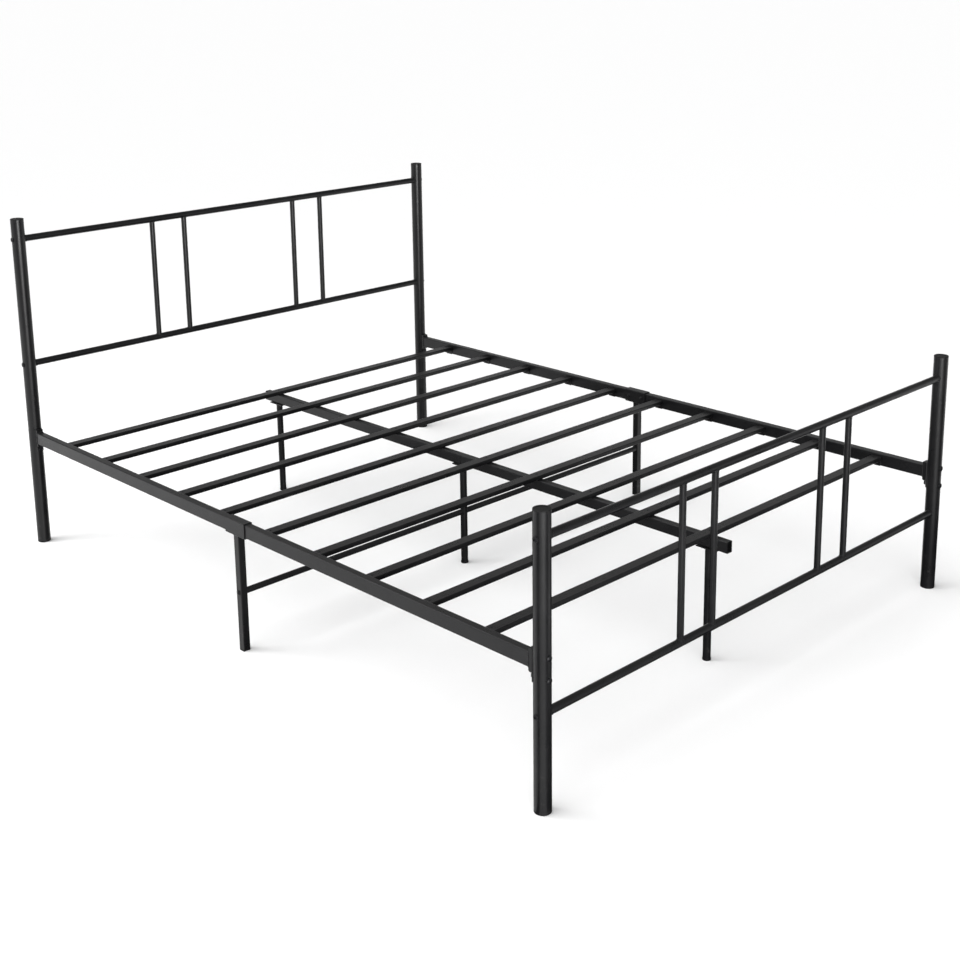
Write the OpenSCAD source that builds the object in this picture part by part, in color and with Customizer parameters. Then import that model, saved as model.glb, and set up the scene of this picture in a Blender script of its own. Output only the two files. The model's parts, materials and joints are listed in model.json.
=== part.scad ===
// Metal bed frame: two tube panels joined by side rails, with slats on a centre beam.
// Origin: middle of the frame on the floor. +X right seen from the foot, +Y to the head, +Z up.

/* [Overall] */
// Distance between the two post centre lines of one panel
post_span = 1545; // [1200:5:1900]
// Distance from the footboard's post centre lines to the headboard's
panel_span = 2080; // [2000:5:2140]
// Height of the headboard posts, from the floor to the cap's top
head_post_h = 990; // [900:5:1200]
// Height of the footboard posts, from the floor to the cap's top
foot_post_h = 660; // [620:5:800]

/* [Panel tubes] */
// Outside diameter of a post
post_d = 38; // [36:1:42]
// Wall thickness of a post
post_wall = 1.2; // [1:0.1:2]
// Outside diameter of the horizontal bars
bar_d = 19; // [18:1:22]
// Outside diameter of the upright spindles
spindle_d = 16; // [12:1:17]
// Wall thickness of the bars, spindles and stretchers
bar_wall = 1; // [0.8:0.1:1.5]
// Drop from a post's top to the centre of its top bar
top_bar_drop = 60; // [40:5:100]
// Height of the headboard's lower bar, at its centre
head_low_bar_z = 556; // [450:2:700]
// Height of the footboard's lower bar, at its centre
foot_low_bar_z = 219; // [120:1:240]
// Distance from the middle to an inner spindle
spindle_inner_x = 213; // [150:1:260]
// Distance from the middle to an outer spindle
spindle_outer_x = 328; // [290:1:450]

/* [Side rails] */
// Width of a side rail
rail_w = 20; // [20:1:24]
// Height of a side rail
rail_h = 35; // [30:1:40]
// Wall thickness of the side rails and of the centre beam
rail_wall = 1.2; // [1:0.1:1.5]
// Height of a side rail's top face above the floor
rail_top = 350; // [340:5:400]
// Length of the sleeve that joins the two halves of a side rail
sleeve_len = 80; // [60:5:120]

/* [Legs] */
// Side of the square middle legs
mid_leg_w = 20; // [18:1:20]
// Outside diameter of the round centre legs
centre_leg_d = 20; // [18:1:24]
// Distance from the middle to the outer centre legs
centre_leg_y = 870; // [800:5:900]
// Outside diameter of the stretcher between the legs
stretcher_d = 16; // [14:1:18]
// Height of the stretcher's centre
stretcher_z = 158; // [100:2:220]

/* [Mattress support] */
// Width of a slat
slat_w = 30; // [25:1:35]
// Height of a slat
slat_h = 12; // [11:1:15]
// Drop from the side rail's top face to the slats' top face
slat_drop = 8; // [6:1:12]

/* [Hidden] */
$fn = 48;
cut = 1; // how far a cutter runs past the face it cuts
fit = 0.05; // gap between faces that touch, to each side
tube_finish = "#1d1d20";
plastic_finish = "#151515";
bolt_finish = "#2c2c30";

ENDS = ["footboard", "headboard"];
SIDES = ["left", "right"];
LEGS = ["foot", "middle", "head"];
SLATS = 10;

post_r = post_d / 2;
post_x = post_span / 2;
panel_y = panel_span / 2;

cap_flange = 2.5;
cap_plug = 12;
foot_flange = 5;
foot_plug = 18;
plug_gap = 0.1;

// M8 bolts hold the panels together, M6 bolts the middle, M5 screws the slats
m8_r = 3.9;
m8_hole_r = 4.2;
m8_thread_r = 4.05;
m8_head_r = 7;
m8_head_h = 4;
m8_end = 26; // from the post's centre to the bolt's end
m6_r = 2.95;
m6_hole_r = 3.1;
m6_head_r = 5.5;
m6_head_h = 3;
m6_len = 12;
m5_r = 2.4;
m5_hole_r = 2.5;
m5_head_r = 4.5;
m5_sink = 0.05; // how far a countersunk head lies below the face
m5_len = 18;
edge_share = 0.4; // a domed head's edge, as a share of its height

// The insert in each end of a bar: a saddle against the post and a threaded plug
saddle_ring = 4;
saddle_ring_d = bar_d + 1.5;
insert_len = 22;

// The bracket between a post and a side rail
bracket_top = rail_top + 8;
bracket_low = rail_top - 61;
neck_low = rail_top - 44;
neck_len = 10.5; // from the post's face to the rail's end
bracket_plate = 2.5;
saddle_angle = 43;
neck_chamfer = 3;
bracket_bolts = [rail_top - 3, rail_top - 52];
nut_flats = 13;
nut_h = 4; // thin nuts
rail_end_y = post_r + neck_len;

rail_mid_z = rail_top - rail_h / 2;
rail_low = rail_top - rail_h;
rail_half_gap = 0.5;
tube_corner = 2.5;
sleeve_plate = 2.5;
sleeve_gap = 0.15;
sleeve_low = rail_low - sleeve_gap - sleeve_plate;
sleeve_bolt_y = 25;

leg_wall = 1.2;
leg_foot_flange = 4;
leg_foot_plug = 15;
centre_foot_h = 5;
centre_foot_r = centre_leg_d / 2 + 1;

slat_top = rail_top - slat_drop;
slat_mid_z = slat_top - slat_h / 2;
slat_pitch = 2 * centre_leg_y / (SLATS - 1);
rail_inner_x = post_x - rail_w / 2; // inner face of the side rail
slat_cap_flange = 1.5;
slat_cap_plug = 10;
slat_end_x = rail_inner_x - slat_cap_flange - 1;
tab_plate = 2.5;
tab_w = slat_w - 4;
tab_reach = 28;
slat_screw_x = rail_inner_x - 17;

beam_w = 20;
beam_h = 30;
beam_top = slat_top - slat_h;
tab_drop = beam_top - rail_low;
beam_low = beam_top - beam_h;
beam_end_y = centre_leg_y + 60;
beam_insert_len = 160;
beam_insert_wall = 1.5;
beam_insert_gap = 0.2;
flange_plate = 3;
flange_len = 60;
flange_w = 30;
flange_bolt_y = 20;

stretcher_plug = 15;
stretcher_head_r = 7; // a wide head on an M6 bolt
stretcher_head_h = 3.5;
peg_r = 4;
peg_reach = 4;

function side_sign(side) = side == "left" ? -1 : 1;
function end_sign(end) = end == "footboard" ? -1 : 1;
function half_sign(half) = half == "foot" ? -1 : 1;
function post_h(end) = end == "footboard" ? foot_post_h : head_post_h;
function top_bar_z(end) = post_h(end) - top_bar_drop;
function low_bar_z(end) = end == "footboard" ? foot_low_bar_z : head_low_bar_z;
function spindle_x(i) = [-spindle_outer_x, -spindle_inner_x, spindle_inner_x, spindle_outer_x][i - 1];
function slat_y(i) = -centre_leg_y + (i - 1) * slat_pitch;
function leg_y(leg) = leg == "foot" ? -centre_leg_y : leg == "head" ? centre_leg_y : 0;

// ---- shapes that repeat ----

// Moves to a post's centre line, with +Y turned to face the other panel
module at_post(end, side) {
    translate([side_sign(side) * post_x, end_sign(end) * panel_y, 0])
        rotate([0, 0, end == "footboard" ? 0 : 180])
            children();
}

// Moves to a post's centre line, with +Y turned to face the other post of its panel
module at_post_across(end, side) {
    translate([side_sign(side) * post_x, end_sign(end) * panel_y, 0])
        rotate([0, 0, side == "left" ? -90 : 90])
            children();
}

module round_tube(d, wall, h) {
    difference() {
        cylinder(h = h, d = d);
        translate([0, 0, -cut])
            cylinder(h = h + 2 * cut, d = d - 2 * wall);
    }
}

module rounded_square(w, h, r) {
    square([w - 2 * r, h], center = true);
    square([w, h - 2 * r], center = true);
    for (x = [-1, 1], y = [-1, 1])
        translate([x * (w / 2 - r), y * (h / 2 - r)])
            circle(r = r);
}

// A rectangular tube along Z: w across X and h across Y
module box_tube(w, h, wall, len, r = tube_corner) {
    linear_extrude(height = len)
        difference() {
            rounded_square(w, h, r);
            rounded_square(w - 2 * wall, h - 2 * wall, max(r - wall, 0.5));
        }
}

// Turns a shape drawn along +Z so that it runs along +Y
module along_y() {
    rotate([-90, 0, 0])
        children();
}

// Turns a shape drawn along +Z so that it runs along +X, with its X across and its Y upright
module along_x() {
    rotate([90, 0, 90])
        children();
}

// A domed head that stands on z = 0 and rises along +Z, with a hexagon socket
module domed_head(r, h, under = 0) {
    edge = h * edge_share;
    crown = h - edge;
    dome_r = (r * r + crown * crown) / (2 * crown);
    difference() {
        intersection() {
            translate([0, 0, -under])
                cylinder(h = h + under, r = r);
            translate([0, 0, h - dome_r])
                sphere(r = dome_r);
        }
        translate([0, 0, h * 0.35])
            cylinder(h = h, r = r * 0.42, $fn = 6);
    }
}

// A bolt whose head stands on z = 0 and whose shank runs along -Z
module domed_bolt(head_r, head_h, shank_r, len) {
    domed_head(head_r, head_h);
    translate([0, 0, -len])
        cylinder(h = len, r = shank_r);
}

// ---- panels ----

module post(end, side) {
    tube_h = post_h(end) - cap_flange - foot_flange;
    color(tube_finish)
        at_post(end, side)
            difference() {
                translate([0, 0, foot_flange])
                    round_tube(post_d, post_wall, tube_h);
                for (z = bracket_bolts)
                    translate([0, -post_d, z])
                        along_y()
                            cylinder(h = 2 * post_d, r = m8_hole_r);
                for (z = [top_bar_z(end), low_bar_z(end)])
                    translate([-post_d, 0, z])
                        along_x()
                            cylinder(h = 2 * post_d, r = m8_hole_r);
            }
}

module post_cap() {
    lip = 1;
    recess_r = post_r * 0.7;
    difference() {
        union() {
            translate([0, 0, -cap_flange])
                cylinder(h = cap_flange - lip, r = post_r);
            translate([0, 0, -cap_flange])
                cylinder(h = cap_flange, r = post_r - lip);
            translate([0, 0, -lip])
                rotate_extrude()
                    translate([post_r - lip, 0])
                        circle(r = lip, $fn = 24);
            translate([0, 0, -cap_flange - cap_plug])
                cylinder(h = cap_plug + cut, r = post_r - post_wall - plug_gap);
        }
        translate([0, 0, -0.6])
            cylinder(h = cut, r = recess_r);
    }
}

module post_foot() {
    lip = 2;
    translate([0, 0, lip])
        cylinder(h = foot_flange - lip, r = post_r);
    cylinder(h = foot_flange, r = post_r - lip);
    translate([0, 0, lip])
        rotate_extrude()
            translate([post_r - lip, 0])
                circle(r = lip, $fn = 24);
    cylinder(h = foot_flange + foot_plug, r = post_r - post_wall - plug_gap);
}

module post_caps(end) {
    color(plastic_finish)
        for (side = SIDES)
            at_post(end, side)
                translate([0, 0, post_h(end)])
                    post_cap();
}

module post_feet(end) {
    color(plastic_finish)
        for (side = SIDES)
            at_post(end, side)
                post_foot();
}

module bar(end, z) {
    half_len = post_x - post_r - saddle_ring;
    color(tube_finish)
        translate([-half_len, end_sign(end) * panel_y, z])
            along_x()
                round_tube(bar_d, bar_wall, 2 * half_len);
}

module spindle(end, i) {
    low_z = low_bar_z(end);
    rise = top_bar_z(end) - low_z;
    color(tube_finish)
        translate([spindle_x(i), end_sign(end) * panel_y, low_z])
            difference() {
                round_tube(spindle_d, bar_wall, rise);
                for (z = [0, rise])
                    translate([-bar_d, 0, z])
                        along_x()
                            cylinder(h = 2 * bar_d, r = bar_d / 2 + fit);
            }
}

// Drawn with the bar along +Y from the post's centre
module bar_end_insert() {
    ring_end = post_r + saddle_ring;
    difference() {
        along_y() {
            translate([0, 0, post_r * 0.75])
                cylinder(h = ring_end - post_r * 0.75, d = saddle_ring_d);
            translate([0, 0, ring_end - cut])
                cylinder(h = insert_len + cut, d = bar_d - 2 * bar_wall - 2 * plug_gap);
        }
        translate([0, 0, -bar_d])
            cylinder(h = 2 * bar_d, r = post_r + fit);
        along_y()
            cylinder(h = ring_end + insert_len + cut, r = m8_thread_r);
    }
}

module bar_end_inserts() {
    color(tube_finish)
        for (end = ENDS, side = SIDES, z = [top_bar_z(end), low_bar_z(end)])
            at_post_across(end, side)
                translate([0, 0, z])
                    bar_end_insert();
}

// ---- rail brackets and the bolts through the posts ----

// Drawn with the side rail along +Y from the post's centre
module rail_bracket_shape() {
    outer_r = post_r + bracket_plate;
    saddle_reach = outer_r * tan(saddle_angle);
    cavity_w = rail_w - 2 * bracket_plate;
    plate_y = rail_end_y - bracket_plate;
    difference() {
        union() {
            intersection() {
                translate([0, 0, bracket_low])
                    cylinder(h = bracket_top - bracket_low, r = outer_r);
                translate([0, 0, bracket_low])
                    linear_extrude(height = bracket_top - bracket_low)
                        polygon([[0, 0], [saddle_reach, outer_r], [-saddle_reach, outer_r]]);
            }
            translate([-rail_w / 2, post_r * 0.75, neck_low])
                cube([rail_w, rail_end_y - post_r * 0.75, bracket_top - neck_low]);
        }
        translate([0, 0, bracket_low - cut])
            cylinder(h = bracket_top - bracket_low + 2 * cut, r = post_r + fit);
        translate([-cavity_w / 2, outer_r, neck_low - cut])
            cube([cavity_w, plate_y - outer_r, bracket_top - bracket_plate - neck_low + cut]);
        translate([-rail_w, rail_end_y, neck_low])
            along_x()
                linear_extrude(height = 2 * rail_w)
                    polygon([[-neck_chamfer - cut, -cut], [cut, -cut], [cut, neck_chamfer + cut]]);
        for (z = bracket_bolts)
            translate([0, 0, z])
                along_y()
                    cylinder(h = outer_r + cut, r = m8_hole_r);
    }
}

module rail_bracket(end, side) {
    color(tube_finish)
        at_post(end, side)
            rail_bracket_shape();
}

module bracket_nuts() {
    color(bolt_finish)
        for (end = ENDS, side = SIDES, z = bracket_bolts)
            at_post(end, side)
                translate([0, post_r + bracket_plate + fit, z])
                    along_y()
                        difference() {
                            rotate([0, 0, 30])
                                cylinder(h = nut_h, r = nut_flats / sqrt(3), $fn = 6);
                            translate([0, 0, -cut])
                                cylinder(h = nut_h + 2 * cut, r = m8_thread_r);
                        }
}

// A bolt through a post along +Y: its head is shaped to the post's curve
module post_bolt() {
    seat = 1.6;
    difference() {
        translate([0, -post_r, 0])
            rotate([90, 0, 0])
                domed_head(m8_head_r, m8_head_h, seat);
        translate([0, 0, -2 * m8_head_r])
            cylinder(h = 4 * m8_head_r, r = post_r + fit);
    }
    translate([0, -post_r - cut, 0])
        along_y()
            cylinder(h = post_r + cut + m8_end, r = m8_r);
}

module post_bolts() {
    color(bolt_finish)
        for (end = ENDS, side = SIDES) {
            for (z = bracket_bolts)
                at_post(end, side)
                    translate([0, 0, z])
                        post_bolt();
            for (z = [top_bar_z(end), low_bar_z(end)])
                at_post_across(end, side)
                    translate([0, 0, z])
                        post_bolt();
        }
}

// ---- side rails, sleeves and middle legs ----

// An M6 hole through the inner wall of a side rail and its sleeve
module sleeve_bolt_hole(side, y) {
    translate([side_sign(side) * rail_inner_x, y, rail_mid_z])
        rotate([0, side_sign(side) * 90, 0])
            translate([0, 0, -2 * sleeve_plate])
                cylinder(h = 4 * sleeve_plate, r = m6_hole_r);
}

module side_rail(side, half) {
    len = panel_y - rail_end_y - rail_half_gap;
    start_y = half == "foot" ? -panel_y + rail_end_y : rail_half_gap;
    color(tube_finish)
        difference() {
            translate([side_sign(side) * post_x, start_y, rail_mid_z])
                along_y()
                    box_tube(rail_w, rail_h, rail_wall, len);
            sleeve_bolt_hole(side, half_sign(half) * sleeve_bolt_y);
        }
}

module rail_sleeve(side) {
    outer_w = rail_w + 2 * (sleeve_gap + sleeve_plate);
    outer_h = rail_h + 2 * (sleeve_gap + sleeve_plate);
    color(tube_finish)
        difference() {
            translate([side_sign(side) * post_x, -sleeve_len / 2, rail_mid_z])
                along_y()
                    box_tube(outer_w, outer_h, sleeve_plate, sleeve_len);
            for (y = [-sleeve_bolt_y, sleeve_bolt_y])
                sleeve_bolt_hole(side, y);
        }
}

module middle_leg(side) {
    color(tube_finish)
        translate([side_sign(side) * post_x, 0, 0])
            difference() {
                translate([0, 0, leg_foot_flange])
                    box_tube(mid_leg_w, mid_leg_w, leg_wall, sleeve_low - leg_foot_flange, 2);
                translate([-mid_leg_w, 0, stretcher_z])
                    along_x()
                        cylinder(h = 2 * mid_leg_w, r = m6_hole_r);
            }
}

module middle_leg_feet() {
    plug_w = mid_leg_w - 2 * leg_wall - 2 * plug_gap;
    color(plastic_finish)
        for (side = SIDES)
            translate([side_sign(side) * post_x, 0, 0]) {
                linear_extrude(height = leg_foot_flange)
                    rounded_square(mid_leg_w, mid_leg_w, 2);
                linear_extrude(height = leg_foot_flange + leg_foot_plug)
                    rounded_square(plug_w, plug_w, 0.8);
            }
}

// ---- stretchers ----

module stretcher(side) {
    outer_x = post_x - mid_leg_w / 2;
    leg_r = centre_leg_d / 2;
    hollow = outer_x - leg_r - 2 * stretcher_plug;
    color(tube_finish)
        mirror([side == "left" ? 1 : 0, 0, 0])
            translate([0, 0, stretcher_z])
                difference() {
                    along_x()
                        cylinder(h = outer_x, d = stretcher_d);
                    translate([leg_r + stretcher_plug, 0, 0])
                        along_x()
                            cylinder(h = hollow, d = stretcher_d - 2 * bar_wall);
                    difference() {
                        translate([0, 0, -stretcher_d])
                            cylinder(h = 2 * stretcher_d, r = leg_r + fit);
                        translate([leg_r - peg_reach, 0, 0])
                            along_x()
                                cylinder(h = 2 * peg_reach, r = peg_r);
                    }
                    translate([outer_x - stretcher_plug - cut, 0, 0])
                        along_x()
                            cylinder(h = stretcher_plug + 2 * cut, r = m6_hole_r);
                }
}

module stretcher_bolts() {
    len = mid_leg_w + m6_len;
    color(bolt_finish)
        for (side = SIDES)
            translate([side_sign(side) * (post_x + mid_leg_w / 2), 0, stretcher_z])
                rotate([0, side_sign(side) * 90, 0])
                    domed_bolt(stretcher_head_r, stretcher_head_h, m6_r, len);
}

// ---- centre beam and centre legs ----

module centre_beam(half) {
    start_y = half == "foot" ? -beam_end_y : rail_half_gap;
    color(tube_finish)
        difference() {
            translate([0, start_y, beam_top - beam_h / 2])
                along_y()
                    box_tube(beam_w, beam_h, rail_wall, beam_end_y - rail_half_gap);
            for (i = [1:SLATS])
                if (slat_y(i) * half_sign(half) > 0)
                    translate([0, slat_y(i), beam_top - 2 * rail_wall])
                        cylinder(h = 3 * rail_wall, r = m5_hole_r);
            for (leg = LEGS, side = [-1, 1])
                translate([0, leg_y(leg) + side * flange_bolt_y, beam_low - cut])
                    cylinder(h = rail_wall + 2 * cut, r = m6_hole_r);
        }
}

module centre_beam_insert() {
    inset = 2 * (rail_wall + beam_insert_gap);
    color(tube_finish)
        difference() {
            translate([0, -beam_insert_len / 2, beam_top - beam_h / 2])
                along_y()
                    box_tube(beam_w - inset, beam_h - inset, beam_insert_wall, beam_insert_len, 1.5);
            for (side = [-1, 1])
                translate([0, side * flange_bolt_y, beam_low])
                    cylinder(h = beam_h / 2, r = m6_hole_r);
        }
}

module centre_leg(leg) {
    tube_top = beam_low - flange_plate;
    leg_r = centre_leg_d / 2;
    color(tube_finish)
        translate([0, leg_y(leg), 0])
            difference() {
                union() {
                    translate([0, 0, centre_foot_h])
                        round_tube(centre_leg_d, leg_wall, tube_top - centre_foot_h);
                    translate([0, 0, tube_top + flange_plate / 2])
                        cube([flange_w, flange_len, flange_plate], center = true);
                }
                for (side = [-1, 1])
                    translate([0, side * flange_bolt_y, tube_top - cut])
                        cylinder(h = flange_plate + 2 * cut, r = m6_hole_r);
                if (leg == "middle")
                    translate([-2 * leg_r, 0, stretcher_z])
                        along_x()
                            cylinder(h = 4 * leg_r, r = peg_r + 2 * fit);
            }
}

module centre_leg_feet() {
    edge = 1;
    plug_r = centre_leg_d / 2 - leg_wall - plug_gap;
    color(plastic_finish)
        for (leg = LEGS)
            translate([0, leg_y(leg), 0])
                rotate_extrude()
                    polygon([
                        [0, 0],
                        [centre_foot_r - edge, 0],
                        [centre_foot_r, edge],
                        [centre_foot_r, centre_foot_h],
                        [plug_r, centre_foot_h],
                        [plug_r, centre_foot_h + leg_foot_plug],
                        [0, centre_foot_h + leg_foot_plug]
                    ]);
}

// The M6 bolts of the rail sleeves, from inside, and of the centre legs, from below
module frame_bolts() {
    sleeve_face_x = rail_inner_x - sleeve_gap - sleeve_plate;
    color(bolt_finish) {
        for (side = SIDES, y = [-sleeve_bolt_y, sleeve_bolt_y])
            translate([side_sign(side) * sleeve_face_x, y, rail_mid_z])
                rotate([0, -side_sign(side) * 90, 0])
                    domed_bolt(m6_head_r, m6_head_h, m6_r, m6_len);
        for (leg = LEGS, side = [-1, 1])
            translate([0, leg_y(leg) + side * flange_bolt_y, beam_low - flange_plate])
                rotate([180, 0, 0])
                    domed_bolt(m6_head_r, m6_head_h, m6_r, m6_len);
    }
}

// ---- slats ----

// The cone of a countersunk head, widest on z = 0 and narrowing along -Z
module countersink(head_r, tip_r) {
    translate([0, 0, tip_r - head_r])
        cylinder(h = head_r - tip_r, r1 = tip_r, r2 = head_r);
}

module slat(i) {
    color(tube_finish)
        difference() {
            translate([-slat_end_x, slat_y(i), slat_mid_z])
                along_x()
                    box_tube(slat_w, slat_h, bar_wall, 2 * slat_end_x, 2);
            for (x = [-slat_screw_x, 0, slat_screw_x])
                translate([x, slat_y(i), slat_top]) {
                    translate([0, 0, -slat_h - cut])
                        cylinder(h = slat_h, r = m5_hole_r);
                    countersink(m5_head_r + 2 * fit, m5_hole_r);
                    cylinder(h = cut, r = m5_head_r + 2 * fit);
                }
        }
}

// The plug in each end of a slat
module slat_end_caps() {
    plug_w = slat_w - 2 * bar_wall - 2 * plug_gap;
    plug_h = slat_h - 2 * bar_wall - 2 * plug_gap;
    color(plastic_finish)
        for (side = SIDES, i = [1:SLATS])
            mirror([side == "left" ? 1 : 0, 0, 0])
                translate([slat_end_x - slat_cap_plug, slat_y(i), slat_mid_z])
                    along_x() {
                        linear_extrude(height = slat_cap_plug + cut)
                            rounded_square(plug_w, plug_h, 1);
                        translate([0, 0, slat_cap_plug])
                            linear_extrude(height = slat_cap_flange)
                                rounded_square(slat_w, slat_h, 2);
                    }
}

// A bent tab on the side rail's inner face, which a slat's end lies on
module slat_tab() {
    difference() {
        union() {
            translate([-tab_reach, -tab_w / 2, -tab_plate])
                cube([tab_reach, tab_w, tab_plate]);
            translate([-tab_plate, -tab_w / 2, -tab_drop])
                cube([tab_plate, tab_w, tab_drop]);
        }
        translate([slat_screw_x - rail_inner_x, 0, -tab_plate - cut])
            cylinder(h = tab_plate + 2 * cut, r = m5_hole_r);
    }
}

module slat_tabs() {
    color(tube_finish)
        for (side = SIDES, i = [1:SLATS])
            mirror([side == "left" ? 1 : 0, 0, 0])
                translate([rail_inner_x, slat_y(i), beam_top])
                    slat_tab();
}

// A countersunk M5 screw whose head lies just below z = 0
module countersunk_screw() {
    socket_depth = 1.4;
    translate([0, 0, -m5_sink])
        difference() {
            union() {
                countersink(m5_head_r, m5_r);
                translate([0, 0, -m5_len])
                    cylinder(h = m5_len - 1, r = m5_r);
            }
            translate([0, 0, -socket_depth])
                cylinder(h = 2 * socket_depth, r = m5_head_r * 0.38, $fn = 6);
        }
}

module slat_screws() {
    color(bolt_finish)
        for (i = [1:SLATS], x = [-slat_screw_x, 0, slat_screw_x])
            translate([x, slat_y(i), slat_top])
                countersunk_screw();
}

for (e = ENDS) {
    for (s = SIDES) {
        post(e, s);
        rail_bracket(e, s);
    }
    post_caps(e);
    post_feet(e);
    bar(e, top_bar_z(e));
    bar(e, low_bar_z(e));
    for (i = [1:4])
        spindle(e, i);
}
bar_end_inserts();
bracket_nuts();
post_bolts();
for (s = SIDES) {
    for (half = ["foot", "head"])
        side_rail(s, half);
    rail_sleeve(s);
    middle_leg(s);
    stretcher(s);
}
stretcher_bolts();
middle_leg_feet();
centre_beam("foot");  // centre_beam_foot
centre_beam("head");  // centre_beam_head
centre_beam_insert();
for (leg = LEGS)
    centre_leg(leg);
centre_leg_feet();
frame_bolts();
for (i = [1:SLATS])
    slat(i);
slat_end_caps();
slat_tabs();
slat_screws();
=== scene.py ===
import json
import math

import bpy
from mathutils import Matrix, Vector


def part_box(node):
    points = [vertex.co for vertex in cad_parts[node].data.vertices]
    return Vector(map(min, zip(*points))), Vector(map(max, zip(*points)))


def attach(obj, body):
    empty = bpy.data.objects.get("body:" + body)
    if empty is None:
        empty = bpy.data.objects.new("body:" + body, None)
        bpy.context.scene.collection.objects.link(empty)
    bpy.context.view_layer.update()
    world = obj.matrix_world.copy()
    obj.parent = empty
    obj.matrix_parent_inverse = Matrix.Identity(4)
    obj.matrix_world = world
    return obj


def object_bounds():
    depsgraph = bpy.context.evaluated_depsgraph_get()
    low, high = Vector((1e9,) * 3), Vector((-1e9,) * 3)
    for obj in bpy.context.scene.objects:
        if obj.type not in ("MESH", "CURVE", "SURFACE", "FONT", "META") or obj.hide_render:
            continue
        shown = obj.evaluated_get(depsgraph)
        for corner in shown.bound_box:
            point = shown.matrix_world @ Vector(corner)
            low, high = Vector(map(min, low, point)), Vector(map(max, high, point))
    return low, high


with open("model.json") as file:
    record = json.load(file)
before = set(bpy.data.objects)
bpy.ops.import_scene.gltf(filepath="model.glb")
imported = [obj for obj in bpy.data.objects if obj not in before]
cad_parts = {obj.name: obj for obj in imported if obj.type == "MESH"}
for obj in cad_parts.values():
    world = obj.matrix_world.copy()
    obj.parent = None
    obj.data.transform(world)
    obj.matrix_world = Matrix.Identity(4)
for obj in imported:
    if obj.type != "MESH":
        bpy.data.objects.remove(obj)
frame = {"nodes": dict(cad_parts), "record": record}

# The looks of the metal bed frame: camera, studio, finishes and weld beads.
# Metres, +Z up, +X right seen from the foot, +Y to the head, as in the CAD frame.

CAD_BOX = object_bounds()
MM = 0.001
UP = Vector((0, 0, 1))

# ---- camera ----

CAMERA_AZIMUTH = -44.10
CAMERA_ELEVATION = 13.32
CAMERA_ROLL = -0.76
CAMERA_DISTANCE = 4.145
CAMERA_LENS_MM = 55.07
CAMERA_SHIFT_Y = -0.18
AIM_OFFSET = Vector((0.080, 0.005, 0.250))  # from the frame's middle to where the camera looks


def make_camera():
    azimuth, elevation = math.radians(CAMERA_AZIMUTH), math.radians(CAMERA_ELEVATION)
    roll = math.radians(CAMERA_ROLL)
    back = Vector((math.sin(azimuth) * math.cos(elevation),
                   -math.cos(azimuth) * math.cos(elevation),
                   math.sin(elevation)))
    level_right = UP.cross(back).normalized()
    level_up = back.cross(level_right)
    right = math.cos(roll) * level_right + math.sin(roll) * level_up
    up = back.cross(right)
    aim = (CAD_BOX[0] + CAD_BOX[1]) / 2 + AIM_OFFSET
    camera = bpy.data.objects.new("camera", bpy.data.cameras.new("camera"))
    bpy.context.scene.collection.objects.link(camera)
    camera.matrix_world = (Matrix.Translation(aim + CAMERA_DISTANCE * back)
                           @ Matrix((right, up, back)).transposed().to_4x4())
    camera.data.lens = CAMERA_LENS_MM
    camera.data.sensor_width = 36
    camera.data.shift_y = CAMERA_SHIFT_Y
    camera.data.dof.use_dof = False
    bpy.context.scene.camera = camera


# ---- node trees ----

class Tree:
    """A material or world node tree, with short calls to add and link nodes."""

    def __init__(self, owner):
        owner.use_nodes = True
        self.nodes = owner.node_tree.nodes
        self.links = owner.node_tree.links
        self.nodes.clear()

    def add(self, kind, inputs=(), **settings):
        node = self.nodes.new(kind)
        for name, value in settings.items():
            setattr(node, name, value)
        for socket, value in dict(inputs).items():
            if isinstance(value, bpy.types.NodeSocket):
                self.links.new(value, node.inputs[socket])
            else:
                node.inputs[socket].default_value = value
        return node

    def math(self, operation, first, second=0.0):
        return self.add("ShaderNodeMath", {0: first, 1: second}, operation=operation).outputs[0]

    def noise(self, place, scale, detail=2.0, roughness=0.5):
        node = self.add("ShaderNodeTexNoise",
                        {"Vector": place, "Scale": scale, "Detail": detail, "Roughness": roughness})
        return node.outputs[0]

    def remap(self, value, low, high, to_low, to_high):
        node = self.add("ShaderNodeMapRange",
                        {0: value, 1: low, 2: high, 3: to_low, 4: to_high})
        return node.outputs[0]

    def mix(self, factor, first, second):
        node = self.add("ShaderNodeMix", {0: factor, 6: first, 7: second}, data_type="RGBA")
        return node.outputs[2]


# ---- finishes ----

DUST = (0.16, 0.155, 0.145)


def shades(tree, place, dark, light, scale):
    """Colour that drifts between two shades over about 1 / scale metres."""
    drift = tree.remap(tree.noise(place, scale, 3), 0.35, 0.65, 0, 1)
    return tree.mix(drift, (*dark, 1), (*light, 1))


def settled_dust(tree, place, colour, amount):
    """A thin, uneven film of dust on the faces that look up."""
    normal = tree.add("ShaderNodeNewGeometry").outputs["Normal"]
    height = tree.add("ShaderNodeSeparateXYZ", {0: normal}).outputs[2]
    facing_up = tree.remap(height, 0.55, 1, 0, amount)
    patches = tree.remap(tree.noise(place, 38, 4, 0.6), 0.3, 0.7, 0.35, 1)
    return tree.mix(tree.math("MULTIPLY", facing_up, patches), colour, (*DUST, 1))


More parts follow.
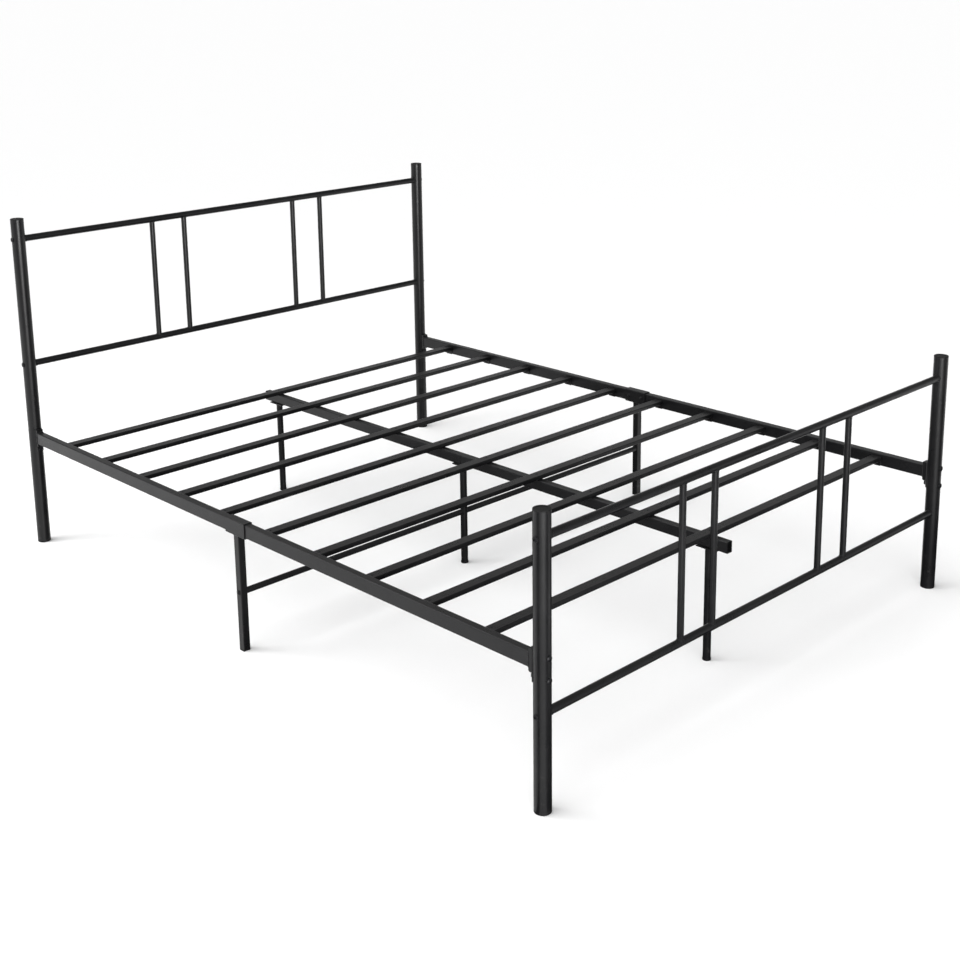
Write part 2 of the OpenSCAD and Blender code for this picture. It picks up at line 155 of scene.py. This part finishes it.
def powder_coat():
    """Satin black powder coat: orange peel, a fine grain, and marks from the floor."""
    material = bpy.data.materials.new("powder_coat_satin_black")
    tree = Tree(material)
    place = tree.add("ShaderNodeTexCoord").outputs["Object"]
    height = tree.add("ShaderNodeSeparateXYZ", {0: place}).outputs[2]
    grain = tree.noise(place, 4200, 2)
    peel = tree.noise(place, 620, 2, 0.45)
    colour = shades(tree, place, (0.0045, 0.0045, 0.005), (0.0075, 0.0075, 0.008), 7)
    speckle = tree.remap(grain, 0.6, 0.78, 0, 0.3)
    colour = tree.mix(speckle, colour, (0.02, 0.02, 0.0215, 1))
    colour = settled_dust(tree, place, colour, 0.035)
    near_floor = tree.remap(height, 0.02, 0.16, 1, 0)
    scuffs = tree.remap(tree.noise(place, 55, 6, 0.7), 0.58, 0.72, 0, 0.22)
    colour = tree.mix(tree.math("MULTIPLY", near_floor, scuffs), colour, (0.12, 0.115, 0.11, 1))
    roughness = tree.remap(tree.noise(place, 16, 4, 0.6), 0.3, 0.7, 0.27, 0.35)
    roughness = tree.math("ADD", roughness, tree.remap(grain, 0.3, 0.7, -0.04, 0.04))
    peel_bump = tree.add("ShaderNodeBump", {"Strength": 0.5, "Distance": 0.00006, "Height": peel})
    bump = tree.add("ShaderNodeBump", {"Strength": 0.3, "Distance": 0.000012, "Height": grain,
                                       "Normal": peel_bump.outputs[0]})
    shader = tree.add("ShaderNodeBsdfPrincipled",
                      {"Base Color": colour, "Roughness": roughness, "Normal": bump.outputs[0],
                       "Specular IOR Level": 0.25})
    tree.add("ShaderNodeOutputMaterial", {0: shader.outputs[0]})
    return material


def moulded_plastic():
    """Black moulded plastic with a fine spark-eroded grain."""
    material = bpy.data.materials.new("moulded_plastic_black")
    tree = Tree(material)
    place = tree.add("ShaderNodeTexCoord").outputs["Object"]
    grain = tree.noise(place, 1900, 3, 0.6)
    colour = shades(tree, place, (0.004, 0.004, 0.004), (0.0065, 0.0065, 0.007), 60)
    colour = settled_dust(tree, place, colour, 0.02)
    roughness = tree.remap(grain, 0.3, 0.7, 0.5, 0.64)
    bump = tree.add("ShaderNodeBump", {"Strength": 0.5, "Distance": 0.00006, "Height": grain})
    shader = tree.add("ShaderNodeBsdfPrincipled",
                      {"Base Color": colour, "Roughness": roughness, "Normal": bump.outputs[0],
                       "Specular IOR Level": 0.2})
    tree.add("ShaderNodeOutputMaterial", {0: shader.outputs[0]})
    return material


def black_bolts():
    """Black oxide steel: a little lighter and duller than the coat, with bright worn specks."""
    material = bpy.data.materials.new("black_oxide_steel")
    tree = Tree(material)
    place = tree.add("ShaderNodeTexCoord").outputs["Object"]
    grain = tree.noise(place, 2600, 4, 0.65)
    colour = shades(tree, place, (0.006, 0.006, 0.007), (0.013, 0.013, 0.0145), 190)
    worn = tree.remap(grain, 0.64, 0.76, 0, 0.25)
    colour = tree.mix(worn, colour, (0.1, 0.1, 0.105, 1))
    roughness = tree.remap(grain, 0.3, 0.7, 0.34, 0.48)
    bump = tree.add("ShaderNodeBump", {"Strength": 0.4, "Distance": 0.00003, "Height": grain})
    shader = tree.add("ShaderNodeBsdfPrincipled",
                      {"Base Color": colour, "Roughness": roughness, "Normal": bump.outputs[0],
                       "Metallic": 0.35, "Specular IOR Level": 0.25})
    tree.add("ShaderNodeOutputMaterial", {0: shader.outputs[0]})
    return material


FINISHES = {
    "powder_coat": powder_coat(),
    "moulded_plastic": moulded_plastic(),
    "black_bolts": black_bolts(),
}


def finish_cad_nodes():
    for part in frame["record"]["subparts"]:
        for slot in frame["nodes"][part["node"]].material_slots:
            slot.material = FINISHES[part["material_slot"]]


# ---- weld beads ----

BEAD_SIDES = 8
LENGTH_STEPS = 200  # a bead's length is measured along this many short lines
RIPPLE_LENGTH = 2.3 * MM  # from one ripple of a bead to the next
POINTS_PER_RIPPLE = 5
RIPPLE_DEPTH = 0.13  # as a share of the bead's radius

# Radii of the beads
SPINDLE_BEAD = 1.3 * MM
BAR_BEAD = 0.8 * MM
RAIL_BEAD = 1.5 * MM
MIDDLE_LEG_BEAD = 1.6 * MM
CENTRE_LEG_BEAD = 1.5 * MM
TAB_BEAD = 1.1 * MM

# Sizes that no node's box gives
RAIL_CORNER = 2.5 * MM
MIDDLE_LEG_CORNER = 2 * MM
CENTRE_LEG_R = 10 * MM
CENTRE_LEG_PLATE = 3 * MM
TAB_SIDE_GAP = 2 * MM  # from a slat's side to its tab's
TAB_END_GAPS = (2 * MM, 3 * MM)  # from a bead's ends to the tab's foot and to the slat


class Beads:
    """Weld beads gathered into one mesh: each is a rippled, swept round section."""

    def __init__(self, name):
        self.name = name
        self.points = []
        self.faces = []

    def add(self, route, radius, closed=True):
        """route(t) gives a point and the way out of the joint there, for t from 0 to 1."""
        rough = [route(i / LENGTH_STEPS)[0] for i in range(LENGTH_STEPS + 1)]
        length = sum((b - a).length for a, b in zip(rough, rough[1:]))
        ripples = max(3, round(length / RIPPLE_LENGTH))
        count = ripples * POINTS_PER_RIPPLE
        first = len(self.points)
        rings = count if closed else count + 1
        step = 0.25 / count
        for i in range(rings):
            t = i / count
            middle, out = route(t)
            before, after = (t - step, t + step) if closed else (max(t - step, 0), min(t + step, 1))
            along = (route(after % 1 if closed else after)[0]
                     - route(before % 1 if closed else before)[0]).normalized()
            side = along.cross(out).normalized()
            out = side.cross(along)
            wave = math.cos(2 * math.pi * ripples * t)
            drift = 0.06 * math.sin(2 * math.pi * 3 * t + 1.3) + 0.04 * math.sin(2 * math.pi * 7 * t)
            size = radius * (1 + RIPPLE_DEPTH * wave + drift)
            if not closed:  # the ends are rounded off
                size *= math.sqrt(max(1 - abs(2 * t - 1) ** 6, 0.02))
            for k in range(BEAD_SIDES):
                angle = 2 * math.pi * k / BEAD_SIDES
                self.points.append(middle + size * (math.cos(angle) * out + math.sin(angle) * side))
        for i in range(count):
            here = first + i * BEAD_SIDES
            there = first + ((i + 1) % rings) * BEAD_SIDES
            for k in range(BEAD_SIDES):
                turn = (k + 1) % BEAD_SIDES
                self.faces.append((here + k, here + turn, there + turn, there + k))
        if not closed:
            last = first + count * BEAD_SIDES
            self.faces.append(tuple(range(first, first + BEAD_SIDES))[::-1])
            self.faces.append(tuple(range(last, last + BEAD_SIDES)))

    def build(self):
        mesh = bpy.data.meshes.new(self.name)
        mesh.from_pydata(self.points, [], self.faces)
        mesh.shade_smooth()
        mesh.materials.append(FINISHES["powder_coat"])
        piece = bpy.data.objects.new(self.name, mesh)
        bpy.context.scene.collection.objects.link(piece)
        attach(piece, "root")


def middle_of(node):
    low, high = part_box(node)
    return (low + high) / 2


def size_of(node):
    low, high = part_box(node)
    return high - low


def ring(centre, across, up, radius):
    """A circle round centre, in the plane of two unit vectors."""
    def route(t):
        angle = 2 * math.pi * t
        out = math.cos(angle) * across + math.sin(angle) * up
        return centre + radius * out, out
    return route


def saddle(centre, rise, spindle_r, bar_r):
    """Where an upright spindle meets a bar along X: rise is 1 above the bar and -1 below it."""
    def route(t):
        angle = 2 * math.pi * t
        out = Vector((math.cos(angle), math.sin(angle), 0))
        drop = math.sqrt(bar_r ** 2 - (spindle_r * out.y) ** 2)
        bar_out = Vector((0, spindle_r * out.y, rise * drop)).normalized()
        return centre + spindle_r * out + Vector((0, 0, rise * drop)), (out + bar_out).normalized()
    return route


def rounded_rectangle(centre, across, up, width, height, corner):
    """A rectangle with round corners, in the plane of two unit vectors, followed at even speed."""
    half_w, half_h = width / 2 - corner, height / 2 - corner
    quarter = math.pi * corner / 2
    sides = [(2 * half_h, Vector((half_w + corner, -half_h)), Vector((0, 1))),
             (2 * half_w, Vector((half_w, half_h + corner)), Vector((-1, 0))),
             (2 * half_h, Vector((-half_w - corner, half_h)), Vector((0, -1))),
             (2 * half_w, Vector((-half_w, -half_h - corner)), Vector((1, 0)))]
    total = 4 * (half_w + half_h + quarter)

    def route(t):
        left = (t % 1) * total
        for length, start, way in sides:
            out = Vector((way.y, -way.x))
            if left <= length:
                flat = start + left * way
                break
            left -= length
            if left <= quarter:
                angle = left / corner
                hub = start + length * way - corner * out
                out = Vector((out.x * math.cos(angle) - out.y * math.sin(angle),
                              out.x * math.sin(angle) + out.y * math.cos(angle)))
                flat = hub + corner * out
                break
            left -= quarter
        return centre + flat.x * across + flat.y * up, out.x * across + out.y * up
    return route


def line(start, end, out):
    def route(t):
        return start.lerp(end, t), out
    return route


X, Y, Z = Vector((1, 0, 0)), Vector((0, 1, 0)), UP
SPINDLES = 4  # in each end panel
SLATS = 10


def spindle_welds(end):
    beads = Beads(end + "_spindle_welds")
    for number in range(1, SPINDLES + 1):
        spindle = middle_of(f"{end}_spindle_{number}")
        spindle_r = size_of(f"{end}_spindle_{number}").x / 2
        for bar, rise in (("lower_bar", 1), ("top_bar", -1)):
            bar_r = size_of(f"{end}_{bar}").z / 2
            centre = Vector((spindle.x, spindle.y, middle_of(f"{end}_{bar}").z))
            beads.add(saddle(centre, rise, spindle_r, bar_r), SPINDLE_BEAD)
    beads.build()


def bar_welds(end):
    beads = Beads(end + "_bar_welds")
    for bar in ("lower_bar", "top_bar"):
        low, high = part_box(f"{end}_{bar}")
        bar_r = (high.z - low.z) / 2
        for x in (low.x, high.x):
            centre = Vector((x, (low.y + high.y) / 2, (low.z + high.z) / 2))
            beads.add(ring(centre, Y, Z, bar_r), BAR_BEAD)
    beads.build()


def rail_welds(side):
    beads = Beads(f"side_rail_{side}_welds")
    for half, sign in (("foot", -1), ("head", 1)):
        low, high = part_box(f"side_rail_{side}_{half}")
        end_y = low.y if sign < 0 else high.y
        centre = Vector(((low.x + high.x) / 2, end_y, (low.z + high.z) / 2))
        route = rounded_rectangle(centre, X, Z, high.x - low.x, high.z - low.z, RAIL_CORNER)
        beads.add(route, RAIL_BEAD)
    beads.build()


def leg_welds():
    beads = Beads("leg_welds")
    for side in ("left", "right"):
        low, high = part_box(f"middle_leg_{side}")
        centre = Vector(((low.x + high.x) / 2, (low.y + high.y) / 2, high.z))
        route = rounded_rectangle(centre, X, Y, high.x - low.x, high.y - low.y, MIDDLE_LEG_CORNER)
        beads.add(route, MIDDLE_LEG_BEAD)
    for leg in ("foot", "middle", "head"):
        centre = middle_of(f"centre_leg_{leg}")
        centre.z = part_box(f"centre_leg_{leg}")[1].z - CENTRE_LEG_PLATE
        beads.add(ring(centre, X, Y, CENTRE_LEG_R), CENTRE_LEG_BEAD)
    beads.build()


def tab_welds():
    """Two short beads beside each slat tab, on the side rails' inner faces."""
    beads = Beads("slat_tab_welds")
    inner_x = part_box("side_rail_right_foot")[0].x
    tab_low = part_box("slat_tabs")[0].z
    slat_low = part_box("slat_1")[0].z
    half_w = size_of("slat_1").y / 2 - TAB_SIDE_GAP
    for number in range(1, SLATS + 1):
        y = middle_of(f"slat_{number}").y
        for side in (-1, 1):
            for edge in (-1, 1):
                start = Vector((side * inner_x, y + edge * half_w, tab_low + TAB_END_GAPS[0]))
                end = start.copy()
                end.z = slat_low - TAB_END_GAPS[1]
                out = Vector((-side, edge, 0)).normalized()
                beads.add(line(start, end, out), TAB_BEAD, closed=False)
    beads.build()


# ---- studio ----

FLOOR_REACH = 90


def make_floor():
    mesh = bpy.data.meshes.new("floor")
    corners = [(x * FLOOR_REACH, y * FLOOR_REACH, 0) for x, y in ((-1, -1), (1, -1), (1, 1), (-1, 1))]
    mesh.from_pydata(corners, [], [(0, 1, 2, 3)])
    floor = bpy.data.objects.new("floor", mesh)
    bpy.context.scene.collection.objects.link(floor)
    material = bpy.data.materials.new("studio_floor")
    tree = Tree(material)
    shader = tree.add("ShaderNodeBsdfPrincipled",
                      {"Base Color": (0.93, 0.93, 0.93, 1), "Roughness": 0.9, "Specular IOR Level": 0.1})
    tree.add("ShaderNodeOutputMaterial", {0: shader.outputs[0]})
    mesh.materials.append(material)


CARD_GAP = 0.2 * MM  # from the floor to the first card, and from each card to the next
CARD_REACH = 6
CARD_AROUND_FOOT = (0.45, 0.75)  # past the side rails' ends and past the right rail


def wedge(tip, angles):
    """A flat triangle that opens from tip between two angles, turned from -Y towards +X."""
    edges = [math.radians(angle) for angle in angles]
    return [(tip.x, tip.y)] + [
        (tip.x + CARD_REACH * math.sin(edge), tip.y - CARD_REACH * math.cos(edge)) for edge in edges]


def make_painted_reflection_cards():
    """Painted dark reflections: black cards on the floor, seen only in reflections, that give the round
    tubes dark bands; the card under the bed is painted shade, standing in for the shade beneath the bed.
    """
    material = bpy.data.materials.new("painted_reflection_card")
    tree = Tree(material)
    shader = tree.add("ShaderNodeBsdfDiffuse", {"Color": (0.004, 0.004, 0.004, 1)})
    tree.add("ShaderNodeOutputMaterial", {0: shader.outputs[0]})
    low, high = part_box("side_rail_left_foot")[0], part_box("side_rail_right_head")[1]
    left, right = middle_of("footboard_post_left"), middle_of("footboard_post_right")
    front_y, front_x = low.y - CARD_AROUND_FOOT[0], high.x + CARD_AROUND_FOOT[1]
    outlines = {
        # painted shade: seen only in reflections, this card stands in for the shade on the floor beneath
        # the bed
        "painted_shade_card_under_bed": [(low.x, low.y), (high.x, low.y), (high.x, high.y), (low.x, high.y)],
        "card_in_front": [(left.x, front_y), (front_x, front_y), (front_x, low.y), (left.x, low.y)],
        "card_front_left": wedge(left, (-6, 33)),
        "card_front_right": wedge(right, (-6, 40)),
        "card_side": wedge(left, (-110, -78)),
    }
    for layer, (name, outline) in enumerate(outlines.items(), 1):
        mesh = bpy.data.meshes.new(name)
        mesh.from_pydata([(x, y, layer * CARD_GAP) for x, y in outline], [], [range(len(outline))])
        mesh.materials.append(material)
        card = bpy.data.objects.new(name, mesh)
        bpy.context.scene.collection.objects.link(card)
        for kind in ("camera", "diffuse", "shadow", "transmission"):
            setattr(card, "visible_" + kind, False)


def add_light(name, lamp, place, aim):
    light = bpy.data.objects.new(name, lamp)
    light.location = place
    light.rotation_mode = "QUATERNION"
    light.rotation_quaternion = (Vector(place) - Vector(aim)).to_track_quat("Z", "Y")
    light.visible_camera = False
    bpy.context.scene.collection.objects.link(light)


def make_softbox(name, place, aim, width, height, power):
    lamp = bpy.data.lights.new(name, "AREA")
    lamp.shape = "RECTANGLE"
    lamp.size, lamp.size_y = width, height
    lamp.energy = power
    add_light(name, lamp, place, aim)


def make_soft_sky(name, place, spread, strength):
    """Even light from one side of the ceiling, with the soft shadows of a large source."""
    lamp = bpy.data.lights.new(name, "SUN")
    lamp.angle = math.radians(spread)
    lamp.energy = strength
    add_light(name, lamp, place, (0, 0, 0))


def make_world():
    """A pale surround that is bright along the horizon and dimmer overhead."""
    world = bpy.data.worlds.new("studio")
    tree = Tree(world)
    way = tree.add("ShaderNodeTexCoord").outputs["Generated"]
    height = tree.add("ShaderNodeSeparateXYZ", {0: way}).outputs[2]
    strength = tree.remap(height, 0.02, 0.35, 0.98, 0.25)
    shader = tree.add("ShaderNodeBackground", {"Color": (1, 1, 1, 1), "Strength": strength})
    tree.add("ShaderNodeOutputWorld", {0: shader.outputs[0]})
    bpy.context.scene.world = world


make_camera()
make_floor()
make_world()
make_painted_reflection_cards()
make_soft_sky("ceiling_left", (-2.5, 1.0, 5.0), 70, 2.85)
make_softbox("front", (-2.4, -4.6, 0.45), (0, 0, 0.45), 3.0, 0.85, 220)
make_softbox("left_floor", (-2.7, 2.2, 2.0), (-2.5, 2.0, 0), 1.2, 1.6, 50)
bpy.context.scene.view_settings.view_transform = "Standard"

finish_cad_nodes()
for panel in ("footboard", "headboard"):
    spindle_welds(panel)
    bar_welds(panel)
for rail_side in ("left", "right"):
    rail_welds(rail_side)
leg_welds()
tab_welds()
